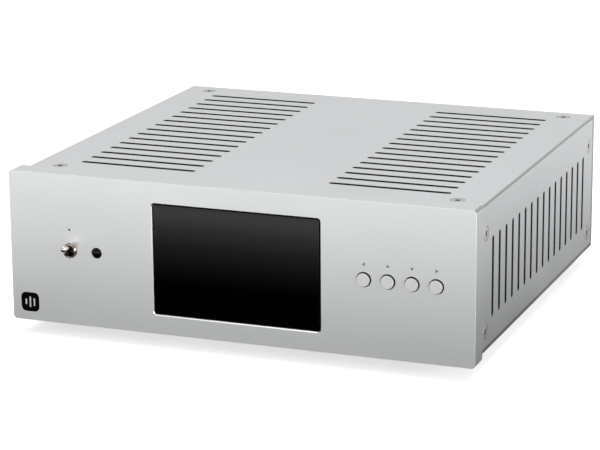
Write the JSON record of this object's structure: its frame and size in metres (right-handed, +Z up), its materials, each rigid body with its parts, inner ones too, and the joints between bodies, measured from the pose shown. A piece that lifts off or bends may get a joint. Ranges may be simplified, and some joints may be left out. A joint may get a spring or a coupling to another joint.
{
  "type": "desktop dac",
  "caption": "Compact silver desktop digital-to-analogue converter: thick front plate with black display window, toggle and round push keys, vented cover and sides, rear sockets.",
  "frame": {"origin": "middle of the object's bounding box in X and Y, on the surface that the feet stand on", "axes": "+X to the right seen from the front, +Y to the back, +Z up"},
  "size_m": [0.206, 0.2078, 0.072],
  "materials": {
    "front_aluminium": "bead-blasted and anodised, natural silver",
    "button_aluminium": "turned and anodised, natural silver",
    "cover_aluminium": "anodised, natural silver, fine satin",
    "sheet_steel": "plain zinc-plated sheet",
    "screw_steel": "nickel-plated, satin",
    "nickel": "bright nickel plate",
    "window_glass": "black backed glass, polished",
    "dome_plastic": "polished, infra-red clear black",
    "light_pipe": "smoked, unlit",
    "socket_plastic": "moulded, fine texture",
    "gold_plate": "gold plated",
    "socket_shell": "tin plated",
    "foot_rubber": "moulded, matt",
    "circuit_board": "solder resist with black parts",
    "ribbon": "grey flat cable",
    "capacitor_sleeve": "shrink sleeve",
    "black_aluminium": "black anodised extrusion"
  },
  "bodies": {
    "case": {"front_plate": "front_aluminium", "top_cover": "cover_aluminium", "left_side_panel": "cover_aluminium", "right_side_panel": "cover_aluminium", "rear_panel": "cover_aluminium", "bottom_plate": "sheet_steel", "front_frame": "sheet_steel", "rear_frame": "sheet_steel", "display_module": "sheet_steel", "shield_can": "sheet_steel", "cover_screw_front_left": "screw_steel", "left_screw_front_lower": "screw_steel", "left_screw_front_upper": "screw_steel", "cover_screw_back_left": "screw_steel", "left_screw_back_lower": "screw_steel", "left_screw_back_upper": "screw_steel", "rear_screw_lower_left": "screw_steel", "rear_screw_upper_left": "screw_steel", "cover_screw_front_right": "screw_steel", "right_screw_front_lower": "screw_steel", "right_screw_front_upper": "screw_steel", "cover_screw_back_right": "screw_steel", "right_screw_back_lower": "screw_steel", "right_screw_back_upper": "screw_steel", "rear_screw_lower_right": "screw_steel", "rear_screw_upper_right": "screw_steel", "toggle_switch": "nickel", "display_window": "window_glass", "ir_window": "dome_plastic", "status_light_pipe": "light_pipe", "balanced_out_left": "socket_plastic", "balanced_out_right": "socket_plastic", "aes_in": "socket_plastic", "optical_in": "socket_plastic", "power_inlet": "socket_plastic", "line_out_left": "gold_plate", "line_out_right": "gold_plate", "coaxial_in": "gold_plate", "usb_in": "socket_shell", "i2s_in": "socket_shell", "foot_front_left": "foot_rubber", "foot_front_right": "foot_rubber", "foot_back_left": "foot_rubber", "foot_back_right": "foot_rubber", "front_board": "circuit_board", "main_board": "circuit_board", "ribbon_cable": "ribbon", "reservoir_capacitor_left": "capacitor_sleeve", "reservoir_capacitor_right": "capacitor_sleeve", "heat_sink_left": "black_aluminium", "heat_sink_right": "black_aluminium"},
    "lever": {"toggle_lever": "nickel"},
    "key_left": {"button_left": "button_aluminium"},
    "key_up": {"button_up": "button_aluminium"},
    "key_down": {"button_down": "button_aluminium"},
    "key_right": {"button_right": "button_aluminium"},
    "latch": {"aes_latch": "nickel"},
    "shutter": {"optical_shutter": "socket_plastic"}
  },
  "joints": [
    {"name": "toggle_throw", "type": "hinge", "parent": "case", "child": "lever", "pos_m": [-0.0753, -0.09303, 0.03915], "axis": [1, 0, 0], "range_deg": [0, 25]},
    {"name": "button_left_press", "type": "slide", "parent": "case", "child": "key_left", "axis": [0, 1, 0], "range_m": [0, 0.0008], "stiffness_N_per_m": 250, "springref_m": -0.0004},
    {"name": "button_up_press", "type": "slide", "parent": "case", "child": "key_up", "axis": [0, 1, 0], "range_m": [0, 0.0008], "stiffness_N_per_m": 250, "springref_m": -0.0004},
    {"name": "button_down_press", "type": "slide", "parent": "case", "child": "key_down", "axis": [0, 1, 0], "range_m": [0, 0.0008], "stiffness_N_per_m": 250, "springref_m": -0.0004},
    {"name": "button_right_press", "type": "slide", "parent": "case", "child": "key_right", "axis": [0, 1, 0], "range_m": [0, 0.0008], "stiffness_N_per_m": 250, "springref_m": -0.0004},
    {"name": "aes_latch_push", "type": "slide", "parent": "case", "child": "latch", "axis": [0, -1, 0], "range_m": [0, 0.0015], "stiffness_N_per_m": 200, "springref_m": -0.0005},
    {"name": "optical_shutter_swing", "type": "hinge", "parent": "case", "child": "shutter", "pos_m": [0.042, 0.09357, 0.0283], "axis": [-1, 0, 0], "range_deg": [0, 75], "stiffness_Nm_per_rad": 0.0002, "springref_deg": -11.46}
  ]
}
